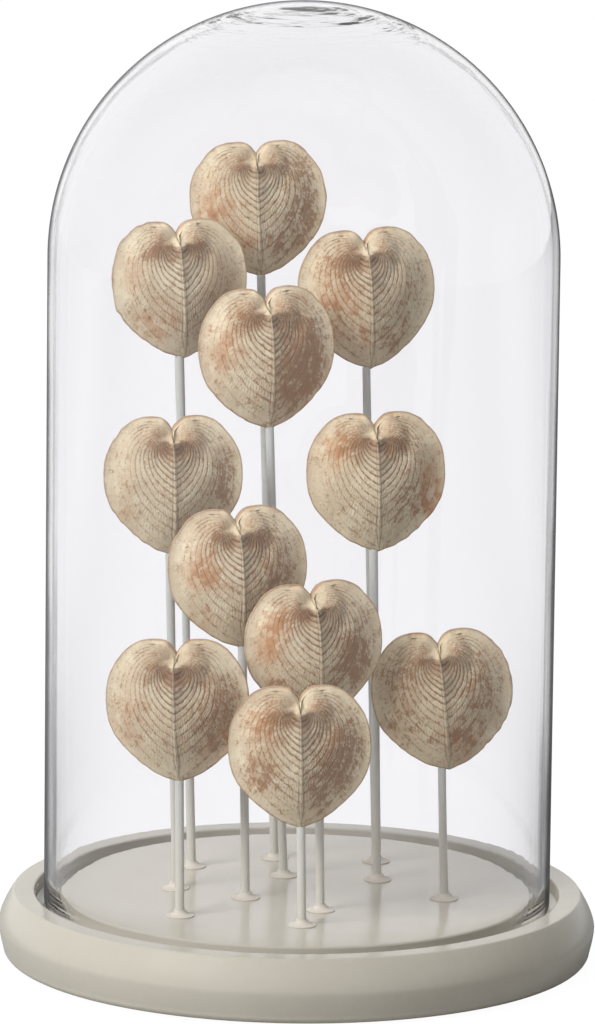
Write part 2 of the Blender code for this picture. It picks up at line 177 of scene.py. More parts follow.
# Colours of the finishes, linear
COLOURS = (
    ("paint", "Cream paint of the base", (0.52, 0.49, 0.415)),
    ("paint_worn", "Where the paint is thin", (0.45, 0.415, 0.34)),
    ("rod_paint", "Paint on the rods", (0.50, 0.51, 0.49)),
    # The rods' colour lower down: paler and warmer towards the base
    ("rod_foot", "Paint near the rods' feet", (0.60, 0.585, 0.52)),
    ("felt", "Pads under the base", (0.30, 0.27, 0.235)),
    ("glass", "Tint of the dome", (0.972, 0.968, 0.984)),
    # Painted shade over the dome's edges, where the wall is seen edge on
    ("glass_edge", "The dome where it is seen edge on", (0.10, 0.10, 0.11)),
    ("shell_pale", "Lightest lime of the shells", (0.78, 0.69, 0.50)),
    ("shell_dull", "Darker lime of the shells", (0.67, 0.565, 0.395)),
    ("stain_orange", "Warm wash on the shells", (0.54, 0.27, 0.125)),
    ("stain_brown", "Brown net on the shells", (0.36, 0.19, 0.095)),
    ("rust", "Warm bands beside the shells' grooves", (0.45, 0.235, 0.11)),
    ("groove", "Dirt in the shells' grooves", (0.31, 0.17, 0.085)),
)
# Facets round the dome and base, a rod, a collar and a pad
ROUND_SIDES, ROD_SIDES, COLLAR_SIDES, PAD_SIDES = 224, 20, 32, 48


def properties(kind, rows, **settings):
    """A property for each row of a table, labelled by its name."""
    return {name: kind(name=name.replace("_", " ").capitalize(), description=about,
                       default=value, min=0.0, max=1.0, **settings)
            for name, about, value in rows}


class ClocheSizes(bpy.types.PropertyGroup):
    """Sizes of the cloche's pieces."""
    __annotations__ = properties(FloatProperty, SIZES, subtype="DISTANCE", unit="LENGTH",
                                 precision=5)


class ClocheColours(bpy.types.PropertyGroup):
    """Colours of the cloche's finishes."""
    __annotations__ = properties(FloatVectorProperty, COLOURS, subtype="COLOR", size=3)


class Value:
    """A node's output; sums on it add Math nodes to its tree."""

    def __init__(self, graph, socket):
        self.graph = graph
        self.socket = socket

    def math(self, operation, *others):
        return self.graph.add("Math", {"operation": operation}, dict(enumerate((self, *others))))

    __add__ = __radd__ = partialmethod(math, "ADD")
    __sub__ = partialmethod(math, "SUBTRACT")
    __mul__ = __rmul__ = partialmethod(math, "MULTIPLY")
    __truediv__ = partialmethod(math, "DIVIDE")

    def __rsub__(self, other):
        return self.graph.add("Math", {"operation": "SUBTRACT"}, {0: other, 1: self})

    def clamped(self):
        return self.graph.add("Math", {"use_clamp": True}, {0: self, 1: 0.0})

    def step(self, low, high):
        """0 below low, 1 above high, and a smooth rise between them."""
        return self.graph.add("MapRange", {"interpolation_type": "SMOOTHSTEP"},
                              {"Value": self, "From Min": low, "From Max": high})


class Graph:
    """Adds nodes of one family to a tree."""

    def __init__(self, tree, family="ShaderNode"):
        self.tree = tree
        self.family = family

    def add(self, kind, settings=None, inputs=None, output=0):
        """Add a node, set it, then link or fill its sockets, and hand back one output."""
        node = self.tree.nodes.new(self.family + kind)
        for name, value in (settings or {}).items():
            setattr(node, name, value)
        for name, value in (inputs or {}).items():
            if isinstance(value, Value):
                self.tree.links.new(value.socket, node.inputs[name])
            else:
                node.inputs[name].default_value = value
        return Value(self, node.outputs[output]) if node.outputs else None

    def axis(self, vector, index):
        """One part of a vector."""
        return self.add("SeparateXYZ", None, {0: vector}, output=index)

    def blend(self, share, start, end):
        """Mix two colours."""
        def full(shade):
            return shade if isinstance(shade, Value) else (*shade, 1.0)
        return self.add("Mix", {"data_type": "RGBA"},
                        {0: share, 6: full(start), 7: full(end)}, output=2)


class Finish(Graph):
    """A material with one Principled shader."""

    def __init__(self, name):
        self.material = bpy.data.materials.new(name)
        self.material.use_nodes = True
        super().__init__(self.material.node_tree)
        self.shader = self.tree.nodes["Principled BSDF"]
        self.shown = self.tree.nodes["Material Output"].inputs["Surface"]

    def place(self):
        """Where a point is on the piece, in metres."""
        return self.add("TexCoord", output="Object")

    def noise(self, scale, detail=2.0, roughness=0.5, where=None):
        return self.add("TexNoise", None, {
            "Vector": where or self.place(), "Scale": scale, "Detail": detail,
            "Roughness": roughness})

    def surface(self, **sockets):
        """Set the shader's sockets; underscores in the names stand for spaces."""
        for name, value in sockets.items():
            socket = self.shader.inputs[name.replace("_", " ")]
            if isinstance(value, Value):
                self.tree.links.new(value.socket, socket)
            elif socket.type == "RGBA":
                socket.default_value = (*value, 1.0)
            else:
                socket.default_value = value

    def bump(self, height, depth, strength=1.0):
        normal = self.add("Bump", None, {
            "Height": height, "Distance": depth, "Strength": strength})
        self.surface(Normal=normal)

    def cover(self, share, other):
        """Mix another shader over what the material shows so far."""
        under = Value(self, self.shown.links[0].from_socket)
        both = self.add("MixShader", None, {0: share, 1: under, 2: other})
        self.tree.links.new(both.socket, self.shown)


def cream_paint(colours):
    """Chalky cream paint over turned wood."""
    finish = Finish("cream_paint")
    cloud = finish.noise(26.0, 3.0)
    grain = finish.noise(320.0, 4.0, 0.6)
    speck = finish.noise(1500.0, 2.0, 0.6)
    rubbed = (cloud * 0.7 + grain * 0.3).step(0.42, 0.66)
    shade = finish.blend(rubbed * 0.32, colours.paint, colours.paint_worn)
    finish.surface(Base_Color=shade, Roughness=0.12 + grain * 0.12, Specular_IOR_Level=0.5)
    finish.bump(grain * 0.6 + speck * 0.4, 0.00006, 0.3)
    return finish.material


def rod_paint(colours):
    """Off-white paint on a thin rod."""
    finish = Finish("rod_paint")
    mottle = finish.noise(500.0, 3.0)
    shade = finish.blend(mottle.step(0.4, 0.7) * 0.25, colours.rod_paint,
                         [part * 0.8 for part in colours.rod_paint])
    up = finish.axis(finish.place(), 2)
    # The rods turn paler and warmer towards the base
    shade = finish.blend(1 - up.step(0.035, 0.10), shade, colours.rod_foot)
    finish.surface(Base_Color=shade, Roughness=0.35 + mottle * 0.2)
    finish.bump(mottle, 0.00008, 0.3)
    return finish.material


def pressed_felt(colours):
    """Short, dense fibres."""
    finish = Finish("pressed_felt")
    fibre = finish.noise(2400.0, 5.0, 0.7)
    shade = finish.blend(fibre.step(0.35, 0.65), [part * 0.6 for part in colours.felt],
                         colours.felt)
    finish.surface(Base_Color=shade, Roughness=0.95, Sheen_Weight=0.3)
    finish.bump(fibre, 0.0004, 0.7)
    return finish.material


def clear_glass(colours):
    """Clear blown glass, drawn up and down, that lets the lamps reach what stands inside, with
    painted shade along its edges.
    """
    finish = Finish("clear_glass")
    place = finish.place()
    up = finish.axis(place, 2)

    def stretched(scales, detail):
        where = finish.add("VectorMath", {"operation": "MULTIPLY"}, {0: place, 1: scales})
        return finish.noise(1.0, detail, where=where)

    # Drawn streaks on the side give way to folds in the crown
    drawn = stretched((70.0, 70.0, 2.5), 2.0)
    folded = stretched((26.0, 26.0, 320.0), 3.0)
    crown = up.step(0.366, 0.381)
    finish.surface(Base_Color=colours.glass, Roughness=0.0, IOR=1.47, Transmission_Weight=1.0)
    finish.bump(drawn * (1 - crown) * 0.2 + folded * crown, 0.0012, 0.35)
    # Painted shade: a dark matte layer over the edge where the wall is seen along its length,
    # more so and in waves lower down
    facing = finish.add("LayerWeight", None, {"Blend": 0.5}, output="Facing")
    wave = stretched((5.0, 5.0, 16.0), 2.0)
    deeper_edge_shade = (1 - up.step(0.06, 0.30)) * 0.05 + (wave - 0.5) * 0.12
    rim = finish.add("BsdfDiffuse", None, {"Color": (*colours.glass_edge, 1.0)})
    finish.cover((facing + deeper_edge_shade).step(0.81, 0.92) * 0.85, rim)
    finish.cover(finish.add("LightPath", output="Is Shadow Ray"),
                 finish.add("BsdfTransparent"))
    return finish.material


def shell_lime(colours):
    """Heart cockle: growth loops that fan from the umbo, crossed by ticks, with stains."""
    finish = Finish("shell_lime")
    coil = finish.add("UVMap", {"uv_map": "coil"})
    edge = finish.add("UVMap", {"uv_map": "edge"})
    turn, rib = finish.axis(coil, 0), finish.axis(coil, 1)
    seam, keel = finish.axis(edge, 0), finish.axis(edge, 1)
    marks = finish.add("Attribute", {"attribute_name": "marks"}, output="Color")
    orange, brown, carved = (
        finish.add("SeparateColor", None, {0: marks}, output=part)
        for part in range(3))
    cloud = finish.noise(70.0, 3.0)
    patch = finish.noise(240.0, 4.0, 0.6)
    speck = finish.noise(900.0, 3.0, 0.6)

    def on_loops(turns, ribs, detail):
        where = finish.add("CombineXYZ", None, {0: turn * turns, 1: rib * ribs})
        return finish.noise(1.0, detail, 0.6, where=where)

    streak = on_loops(7.0, 1.1, 3.0)
    gap = on_loops(15.0, 0.9, 2.0)
    dash = on_loops(24.0, 1.9, 2.0)
    fleck = on_loops(48.0, 2.6, 2.0)
    # Wavy grooves along the growth loops, and the ribs that swell between them
    wavy = rib + (patch - 0.5) * 0.36 + (speck - 0.5) * 0.24
    row = wavy.math("FLOOR")
    off_groove = 0.5 - (wavy.math("FRACT") - 0.5).math("ABSOLUTE")
    wide = (rib * -0.077).math("EXPONENT") * 0.20
    groove = 1 - (off_groove / wide).step(0.2, 1.0)
    swell = (off_groove / wide * 0.4).step(0.0, 1.0)
    beside_groove = 1 - (off_groove / wide * 0.45).step(0.15, 1.0)
    # Ticks across the ribs cut them into bricks
    along = turn * 26.0 + row * 0.43 + (speck - 0.5) * 0.7
    off_tick = 0.5 - (along.math("FRACT") - 0.5).math("ABSOLUTE")
    tick = 1 - off_tick.step(0.04, 0.3)
    cell = finish.add("CombineXYZ", None, {0: (along * 0.34).math("FLOOR"), 1: row})
    brick = finish.add("TexWhiteNoise", {"noise_dimensions": "2D"}, {0: cell})
    # Stains: an orange wash, a brown net, dots and rusty bands beside the grooves
    washed = orange * (0.75 + (patch - 0.5) * 2.4 + (brick - 0.4) * 1.1 + groove * 0.3)
    washed = (washed + (streak - 0.50) * 0.6).clamped()
    netted = brown * 0.60 + (streak - 0.5) * 0.9 + (dash - 0.5) * 0.9 + (patch - 0.5) * 0.8
    netted = (netted + (speck - 0.5) * 0.5 + beside_groove * 0.16).step(0.27, 0.60)
    dots = (speck * 0.4 + fleck * 0.6 + (patch - 0.5) * 0.5).step(0.52, 0.62)
    rusty = beside_groove * (gap * 0.5 + dash * 0.5).step(0.40, 0.56) * carved
    # Dirt in the grooves, which are broken up and grow finer away from the umbo
    fine = rib.step(5.0, 11.0)
    broken = (gap.step(0.45, 0.6) * 0.8 + brown * 0.35 + (1 - fine) * 0.35).clamped()
    ticked = tick * (dash.step(0.45, 0.62) * 0.4 + 0.04)
    dirt = (groove * broken * (0.95 - fine * 0.35) + ticked) * carved
    rim = 1 - keel.step(0.0002, 0.0010)
    seam_line = 1 - ((seam - 1.15).math("ABSOLUTE") / 0.45).step(0.2, 1.0)
    seam_bead = 1 - seam.step(0.6, 1.1)

    shade = finish.blend(cloud.step(0.35, 0.65), colours.shell_pale, colours.shell_dull)
    for share, tint in ((washed * 0.92, colours.stain_orange),
                        (netted * 0.78, colours.stain_brown),
                        (dots * 0.42, colours.stain_brown),
                        (rusty * (0.30 + streak * 0.5), colours.rust),
                        (dirt.clamped(), colours.groove),
                        (rim * (0.3 + patch * 0.7), colours.stain_brown),
                        (seam_bead * 0.5, colours.shell_dull),
                        (seam_line * broken * 0.5, colours.groove)):
        shade = finish.blend(share, shade, tint)
    finish.surface(Base_Color=shade, Roughness=0.5 + patch * 0.25, Specular_IOR_Level=0.3)
    height = swell * carved * (1.15 - fine * 0.7) + seam_bead * 0.5 - seam_line * 0.4
    height = height - tick * carved * 0.25 + speck * 0.4 + patch * 0.35 + dash * 0.3
    finish.bump(height, 0.00055, 0.9)
    return finish.material


def ray_kinds(graph):
    """Shares of a ray: from the camera, straight through the glass, off a surface, off a
    surface and through the glass, and mirrored by the glass."""
    seen = graph.add("LightPath", output="Is Camera Ray")
    through = graph.add("LightPath", output="Is Transmission Ray")
    mirrored = graph.add("LightPath", output="Glossy Depth").clamped()
    scattered = graph.add("LightPath", output="Diffuse Depth").clamped()
    straight = through * (1 - mirrored) * (1 - scattered)
    return seen, straight, scattered, through * scattered, mirrored * (1 - scattered)


def studio_floor():
    """Pale floor, white to the camera and through the glass, that keeps the shadow."""
    finish = Finish("studio_floor")
    finish.surface(Base_Color=(0.5, 0.5, 0.5), Roughness=0.9, Specular_IOR_Level=0.1)
    seen, through, _, _, mirrored = ray_kinds(finish)
    beside, back = finish.axis(finish.place(), 0), finish.axis(finish.place(), 1)
    middle = 1 - beside.math("ABSOLUTE").step(0.9, 1.9)
    bright = (seen + (1 - seen) * (SIDE_GLOW + middle * (1 - SIDE_GLOW))) * FLOOR_GLOW
    tone = finish.add("CombineColor", None, {0: bright, 1: bright, 2: bright})
    image = mirrored * back.step(0.1, 0.6) * (0.66 - beside * 0.2)
    finish.cover((seen + through + image).clamped() * FLOOR_COVER,
                 finish.add("Emission", None, {"Color": tone}))
    return finish.material


def geometry_tree(name, *inputs):
    """An empty Geometry Nodes tree that is given a shape, named inputs and a material."""
    tree = bpy.data.node_groups.new(name, "GeometryNodeTree")
    for title, kind in (("Geometry", "Geometry"), *inputs, ("Material", "Material")):
        tree.interface.new_socket(title, in_out="INPUT", socket_type=f"NodeSocket{kind}")
    tree.interface.new_socket("Geometry", in_out="OUTPUT", socket_type="NodeSocketGeometry")
    graph = Graph(tree, "GeometryNode")
    source = tree.nodes.new("NodeGroupInput")
    return graph, {socket.name: Value(graph, socket) for socket in source.outputs if socket.name}


def end_tree(graph, shape, given):
    """Realize, give the material and hand the shape out."""
    shape = graph.add("RealizeInstances", None, {0: shape})
    shape = graph.add("SetMaterial", None, {"Geometry": shape, "Material": given["Material"]})
    graph.tree.links.new(shape.socket, graph.tree.nodes.new("NodeGroupOutput").inputs[0])
    return graph.tree


def lathe_tree():
    """Spins a profile drawn as a chain of edges, with across in X and down in Y."""
    graph, given = geometry_tree("Lathe", ("Sides", "Int"), ("Axis Radius", "Float"),
                                 ("Merge Distance", "Float"))
    profile = graph.add("MeshToCurve", None, {0: given["Geometry"]})
    path = graph.add("CurvePrimitiveCircle", None, {
        "Resolution": given["Sides"], "Radius": given["Axis Radius"]})
    skin = graph.add("CurveToMesh", None, {"Curve": path, "Profile Curve": profile})
    skin = graph.add("MergeByDistance", None, {
        "Geometry": skin, "Distance": given["Merge Distance"]})
    return end_tree(graph, skin, given)


def rod_tree():
    """Sweeps a round bar along each chain of edges; the girth attribute thins it."""
    graph, given = geometry_tree("Round bars", ("Radius", "Float"), ("Sides", "Int"))
    path = graph.add("MeshToCurve", None, {0: given["Geometry"]})
    girth = graph.add("InputNamedAttribute", {"data_type": "FLOAT"}, {"Name": "girth"})
    path = graph.add("SetCurveRadius", None, {"Curve": path, "Radius": girth})
    circle = graph.add("CurvePrimitiveCircle", None, {
        "Resolution": given["Sides"], "Radius": given["Radius"]})
    skin = graph.add("CurveToMesh", None, {
        "Curve": path, "Profile Curve": circle, "Scale": girth, "Fill Caps": True})
    return end_tree(graph, skin, given)


def stand_tree():
    """Stands one copy of a piece on each point."""
    graph, given = geometry_tree("Stand on points", ("Piece", "Object"))
    piece = graph.add("ObjectInfo", None, {"Object": given["Piece"]}, output="Geometry")
    points = graph.add("MeshToPoints", None, {"Mesh": given["Geometry"]})
    copies = graph.add("InstanceOnPoints", None, {"Points": points, "Instance": piece})
    return end_tree(graph, copies, given)


def tree_named(name, make):
    return bpy.data.node_groups.get(name) or make()


def link(name, data):
    thing = bpy.data.objects.new(name, data)
    bpy.context.scene.collection.objects.link(thing)
    return thing


def plain_mesh(name, points, chain=(), faces=(), material=None):
    mesh = bpy.data.meshes.new(name)
    mesh.from_pydata(points, chain, faces)
    if material:
        mesh.materials.append(material)
    return mesh


def grow(name, source, tree, values, sharp=None):
    """Run a tree on a mesh and keep the plain mesh that it makes."""
    thing = link(name, source)
    modifier = thing.modifiers.new(tree.name, "NODES")
    modifier.node_group = tree
    for item in tree.interface.items_tree:
        if item.in_out == "INPUT" and item.name in values:
            modifier[item.identifier] = values[item.name]
    done = bpy.data.meshes.new_from_object(
        thing.evaluated_get(bpy.context.evaluated_depsgraph_get()))
    thing.modifiers.clear()
    thing.data = done
    done.name = name
    outward(done)
    done.shade_smooth()
    if sharp:
        done.set_sharp_from_angle(angle=sharp)
    return thing


def outward(mesh):
    """Make the faces of a closed mesh point out."""
    bm = bmesh.new()
    bm.from_mesh(mesh)
    bmesh.ops.recalc_face_normals(bm, faces=bm.faces)
    bm.to_mesh(mesh)
    bm.free()


def lathe(name, profile, material, sides, closed=False):
    """Turn a profile of (radius, height) points round Z."""
    axis = 0.001
    chain = [(place, place + 1) for place in range(len(profile) - 1)]
    if closed:
        chain.append((len(profile) - 1, 0))
    mesh = plain_mesh(name + "_profile",
                      [(radius - axis, -height, 0) for radius, height in profile], chain)
    return grow(name, mesh, tree_named("Lathe", lathe_tree), {
        "Sides": sides, "Axis Radius": axis, "Merge Distance": 0.000002,
        "Material": material})


def mix(start, end, share):
    return start + (end - start) * share


def arc(centre_across, centre_up, radius, start, end, steps):
    """Points on an arc, with angles in degrees from +X towards up."""
    points = []
    for step in range(steps + 1):
        angle = math.radians(mix(start, end, step / steps))
        points.append((centre_across + radius * math.cos(angle),
                       centre_up + radius * math.sin(angle)))
    return points


def flat(start, end, keep=0.0008):
    """A flat stretch between two points, with a point close to either end."""
    reach = math.dist(start, end)
    share = min(0.3, keep / reach)
    near = tuple(mix(a, b, share) for a, b in zip(start, end))
    far = tuple(mix(b, a, share) for a, b in zip(start, end))
    return [near, far]


def base_profile(sizes):
    """Half the base's section, from the middle of its underside to the platform's middle."""
    low, top = BASE_LOW.z, BASE_HIGH.z
    widest = top - sizes.widest_drop
    lip = sizes.dome_radius - sizes.lip_wall
    platform = lip - sizes.room_inside
    groove = sizes.dome_radius + sizes.room_outside
    ring = groove + sizes.ring_width
    outside = BASE_HIGH.x
    swell = outside - ring
    foot = sizes.foot_rounding
    edge = sizes.edge_break
    tuck = outside - sizes.foot_tuck
    floor = top - sizes.groove_depth
    corner = 0.0006
    points = [(0, low)] + flat((0, low), (tuck - foot, low))
    points += arc(tuck - foot, low + foot, foot, -90, 0, 8)
    points += [(outside - sizes.foot_tuck * (1 - step / 12) ** 1.5,
                mix(low + foot, widest, step / 12)) for step in range(1, 13)]
    points += [(outside - swell * (step / 17) ** 1.5,
                mix(widest, top - edge * 0.7, step / 17)) for step in range(1, 17)]
    points += arc(ring - edge, top - edge, edge, 38, 90, 5)
    points += flat((ring - edge, top), (groove + edge, top))
    points += arc(groove + edge, top - edge, edge, 90, 180, 6)
    points += [(groove, floor + corner), (groove - corner, floor)]
    points += [(platform + corner, floor), (platform, floor + corner)]
    points += arc(platform - edge, top - edge, edge, 0, 90, 6)
    points += flat((platform - edge, top), (0, top))
    points.append((0, top))
    return points


def dome_profile(sizes):
    """The dome's section: the lip, the outside, the crown and down the inside."""
    radius = sizes.dome_radius
    low = DOME_LOW.z
    spring = DOME_HIGH.z - radius
    rounding = sizes.lip_wall / 2
    steps = 56
    outside, inside = [], []
    for step in range(steps + 1):
        angle = math.pi / 2 * step / steps
        wall = mix(sizes.glass_wall, sizes.crown_wall, (step / steps) ** 2)
        across = math.cos(angle) if step < steps else 0
        outside.append((radius * across, spring + radius * math.sin(angle)))
        inside.insert(0, ((radius - wall) * across, spring + (radius - wall) * math.sin(angle)))
    side = [(radius, mix(low + rounding, spring, step / 8)) for step in range(1, 8)]
    thin = [(radius - mix(sizes.glass_wall, sizes.lower_wall, step / 6),
             low + mix(sizes.lower_band, sizes.lip_height, step / 6)) for step in range(6)]
    thin += [(radius - mix(sizes.lower_wall, sizes.lip_wall, (step / 12) ** 1.6),
              low + mix(sizes.lip_height, rounding, step / 12)) for step in range(12)]
    lip = arc(radius - rounding, low + rounding, rounding, 180, 360, 12)
    return lip + side + outside + inside + thin


def collar_profile(sizes):
    """A small trumpet round a rod's foot."""
    bore = sizes.rod_radius + 0.00005
    neck = bore + 0.0006
    points = [(bore, 0), (sizes.collar_radius, 0), (sizes.collar_radius, 0.00035)]
    for step in range(1, 11):
        angle = math.pi / 2 * step / 10
        points.append((mix(sizes.collar_radius - 0.0002, neck, math.sin(angle)),
                       mix(0.0005, sizes.collar_height, 1 - math.cos(angle))))
    points.append((bore, sizes.collar_height))
    return points


def coil_point(sizes, turn, ragged):
    """Across from the seam and up from the umbo, where the keel is at a turn."""
    form = ragged(turn)
    for centre, width, share in KEEL_FORM:
        form = form + share * np.exp(-((np.degrees(turn) - centre) / width) ** 2)
    radius = sizes.shell_reach * np.exp(-COIL_RATE * turn) * form
    return sizes.umbo_offset + radius * np.sin(turn), -radius * np.cos(turn), radius


def coiled(share, turn, radius, sizes):
    """The face's height by its coil, with a rounded beak over the umbo."""
    rise = mix(RISE_START, 1.0, np.sin(math.pi / 2 * np.minimum(share, PEAK_SHARE) / PEAK_SHARE))
    power = mix(RIDGE_POWER, FLANK_POWER, np.clip(turn / FLANK_TURN, 0, 1))
    fall = np.cos(math.pi / 2 * (np.maximum(share, PEAK_SHARE) - PEAK_SHARE) / (1 - PEAK_SHARE))
    form = np.where(share < PEAK_SHARE, rise, np.maximum(fall, 0) ** power)
    near = np.sin(math.pi / 2 * np.minimum(share / UMBO_SPREAD, 1))
    own = mix(UMBO_HEIGHT, form * radius / sizes.shell_reach, near)
    off = share * radius / np.minimum(radius, BEAK_REACH)
    beak = BEAK_HEIGHT * np.sqrt(np.clip(1 - off ** 2, 0, 1))
    return (own ** BEAK_BLEND + beak ** BEAK_BLEND) ** (1 / BEAK_BLEND)


def smooth(share):
    """A smooth rise from 0 to 1."""
    share = np.clip(share, 0, 1)
    return share * share * (3 - 2 * share)


def hollow_at(across, up):
    """How far a point lies in the smooth hollow between the beaks, from 0 to 1."""
    start = smooth((up - HOLLOW_FOOT) / HOLLOW_START)
    return np.exp(-(np.abs(across) / HOLLOW_REACH) ** 3) * start


def shell_form(share, turn, radius, across, up, sizes):
    """How far the face stands off the keel's plane, as a share of the bulge at the seam."""
    own = coiled(share, turn, radius, sizes)
    level = np.full_like(turn, -math.pi / 2)
    reach = coil_point(sizes, level, np.ones_like)[2]
    beside = np.clip((sizes.umbo_offset - across) / reach, 0, 1)
    outline = coil_point(sizes, np.linspace(math.pi * 1.25, math.pi, 60), np.ones_like)
    notch = np.interp(across, outline[0], outline[1])
    climb = np.clip((up - HOLLOW_FOOT) / (notch - HOLLOW_FOOT), 0, 1)
    saddle = coiled(beside, level, reach, sizes) * (1 - climb ** SADDLE_START) ** SADDLE_FALL
    back = smooth((turn - math.pi) / (math.pi / 2) * 1.35)
    return mix(own, saddle, back) * (1 - HOLLOW_DEPTH * hollow_at(across, up))


def loop_at(sizes, across, up):
    """Which growth loop passes a point, counted in shares of the seam."""
    off_across, off_up = across - sizes.loop_offset, up - HOLLOW_FOOT
    turn = np.arctan2(off_across, -off_up)
    turn = np.where(turn < -math.pi / 2, turn + math.tau, turn)
    share = np.hypot(off_across, off_up) / (sizes.shell_reach * np.exp(-COIL_RATE * turn))
    low, high = np.zeros_like(turn), np.full_like(turn, 1.6)
    for _ in range(LOOP_STEPS):
        loop = (low + high) / 2
        end = mix(FIRST_LOOP_TURN, LAST_LOOP_TURN, np.clip(loop / LAST_LOOP, 0, 1))
        reach = loop * np.clip(1 - turn / end, 0, None) ** LOOP_POWER
        low, high = np.where(reach < share, loop, low), np.where(reach < share, high, loop)
    return low


def crossing(turns, across, place):
    """The turn at which a line crosses the seam's face, just before one of its points."""
    a, b = across[place - 1], across[place]
    return mix(turns[place - 1], turns[place], (SEAM_FACE - a) / (b - a))


def seam_turns(sizes, share, ragged):
    """The first and last turn of the line at a share of the way from umbo to keel."""
    def line(start, end):
        turns = np.linspace(start, end, SEAM_STEPS)
        keel = coil_point(sizes, turns, ragged)[0]
        return turns, sizes.umbo_offset + share * (keel - sizes.umbo_offset)

    turns, across = line(-math.pi / 2, 0)
    inside = np.nonzero(across > SEAM_FACE)[0][0]
    first = crossing(turns, across, inside) if inside else turns[0]
    turns, across = line(math.pi, math.pi * 1.5)
    outside = np.nonzero(across < SEAM_FACE)[0]
    last = crossing(turns, across, outside[0]) if len(outside) else turns[-1]
    return first, last


class Valve:
    """Lines of points round the umbo, on both faces of a valve, and the faces between."""

    def __init__(self, sizes, size, seed):
        self.sizes = sizes
        self.size = size
        self.phases = np.random.default_rng(seed).uniform(0, math.tau, len(KEEL_WAVES))
        self.rows, self.loops, self.coils, self.edges, self.faces = [], [], [], [], []
        self.seam_share = self.share_at_seam(-math.pi / 2)
        self.first_turn, self.last_turn = seam_turns(sizes, 1.0, self.ragged)
        self.build()

    def ragged(self, turn):
        """The keel's small waves, as a share of its distance from the umbo."""
        total = np.ones_like(turn)
        for (rate, depth), phase in zip(KEEL_WAVES, self.phases):
            total = total - depth * (1 + np.sin(rate * turn + phase))
        return total

    def share_at_seam(self, turn):
        """How far from umbo to keel the seam's face is, level with the umbo."""
        reach = float(coil_point(self.sizes, np.array(turn), self.ragged)[2])
        return (self.sizes.umbo_offset - SEAM_FACE) / reach

    def even_turns(self, first, last):
        """Turns that stand evenly along the coil."""
        start, end = math.exp(-COIL_RATE * first), math.exp(-COIL_RATE * last)
        return -np.log(mix(start, end, np.linspace(0, 1, COLUMNS))) / COIL_RATE

    def add_row(self, share, turns, bulge, facing, shrink=1.0, lift=0.0):
        """Add a line, with its values for the finish, and hand back its points' numbers."""
        sizes = self.sizes
        across, up, radius = coil_point(sizes, turns, self.ragged)
        across = sizes.umbo_offset + (across - sizes.umbo_offset) * share * shrink
        up = up * share * shrink
        stand = sizes.keel_thickness / 2 * lift
        if share < 1:
            stand = sizes.keel_thickness / 2 + bulge * shell_form(share, turns, radius, across,
                                                                  up, sizes)
        start = sum(len(row) for row in self.rows)
        self.rows.append(np.stack([across, facing * np.broadcast_to(stand, across.shape), up],
                                  1))
        loop = loop_at(sizes, across, up)
        self.loops.append(loop)
        rib = np.log(1 + loop / RIB_START) / math.log(RIB_GROWTH)
        self.coils.append(np.stack([turns, rib], 1))
        down = np.clip(-up / sizes.shell_reach, 0, 1)
        bead = mix(sizes.bead_top, sizes.bead_low, np.clip(down / 0.7, 0, 1))
        bead = bead * np.clip((1 - down) / 0.2, 0.3, 1)
        from_seam = across / bead + 4 * hollow_at(across, up)
        self.edges.append(np.stack([from_seam, (1 - share) * radius * self.size], 1))
        return list(range(start, start + len(turns)))

    def face_rows(self, bulge, facing, near_rows, far_rows):
        """Add a face's lines, first those that don't reach the seam below the umbo."""
        shares = [self.seam_share * (row / near_rows) for row in range(1, near_rows + 1)]
        shares += [mix(self.seam_share, 1, row / far_rows) for row in range(1, far_rows)]
        grid = []
        for share in shares:
            first, last = seam_turns(self.sizes, share, self.ragged)
            if share <= self.seam_share * SAME_SHARE:
                first = -math.pi / 2
            grid.append(self.add_row(share, self.even_turns(first, last), bulge, facing))
        return shares, grid

    def close(self, pole, shares, grid, bulge, facing):
        """Close a face round the umbo; hand back its seam below and above it, and a corner."""
        self.faces += [(pole, grid[0][here], grid[0][here + 1]) for here in range(COLUMNS - 1)]
        lower = [row[0] for row, share in zip(grid, shares)
                 if share <= self.seam_share * SAME_SHARE]
        upper = [row[-1] for row, share in zip(grid, shares)
                 if seam_turns(self.sizes, share, self.ragged)[1] > math.pi * 1.4999]
        turn = math.pi * 1.5
        corner = self.add_row(self.share_at_seam(turn), np.array([turn]), bulge, facing)[0]
        self.faces.append([pole] + lower + [corner] + upper[::-1])
        self.faces.append((upper[-1], corner, grid[len(upper)][-1]))
        return lower, upper, corner

    def build(self):
        """Add both faces, the keel between them and the flat cap at the seam."""
        bulges = (self.sizes.front_bulge, -1), (self.sizes.back_bulge, 1)
        front_shares, front = self.face_rows(*bulges[0], *FRONT_ROWS)
        turns = self.even_turns(self.first_turn, self.last_turn)
        rim = [self.add_row(1.0, turns, 0, -1, SHOULDER_PLACE, SHOULDER_LIFT),
               self.add_row(1.0, turns, 0, -1),
               self.add_row(1.0, turns, 0, 1, SHOULDER_PLACE, SHOULDER_LIFT)]
        back_shares, back = self.face_rows(*bulges[1], *BACK_ROWS)
        poles = [self.add_row(0.0, np.array([1.0]), *bulge)[0] for bulge in bulges]
        bands = front + rim + back[::-1]
        self.faces += [(one[here], one[here + 1], two[here + 1], two[here])
                       for one, two in zip(bands, bands[1:]) for here in range(COLUMNS - 1)]
        low, high, corner = self.close(poles[0], front_shares, front, *bulges[0])
        back_low, back_high, back_corner = self.close(poles[1], back_shares, back, *bulges[1])
        below = front[len(low):] + rim + back[len(back_low):][::-1]
        above = back[len(back_high):] + rim[::-1] + front[len(high):][::-1]
        self.faces.append([low[-1]] + [row[0] for row in below] + [back_low[-1], back_corner]
                          + [row[-1] for row in above] + [corner])


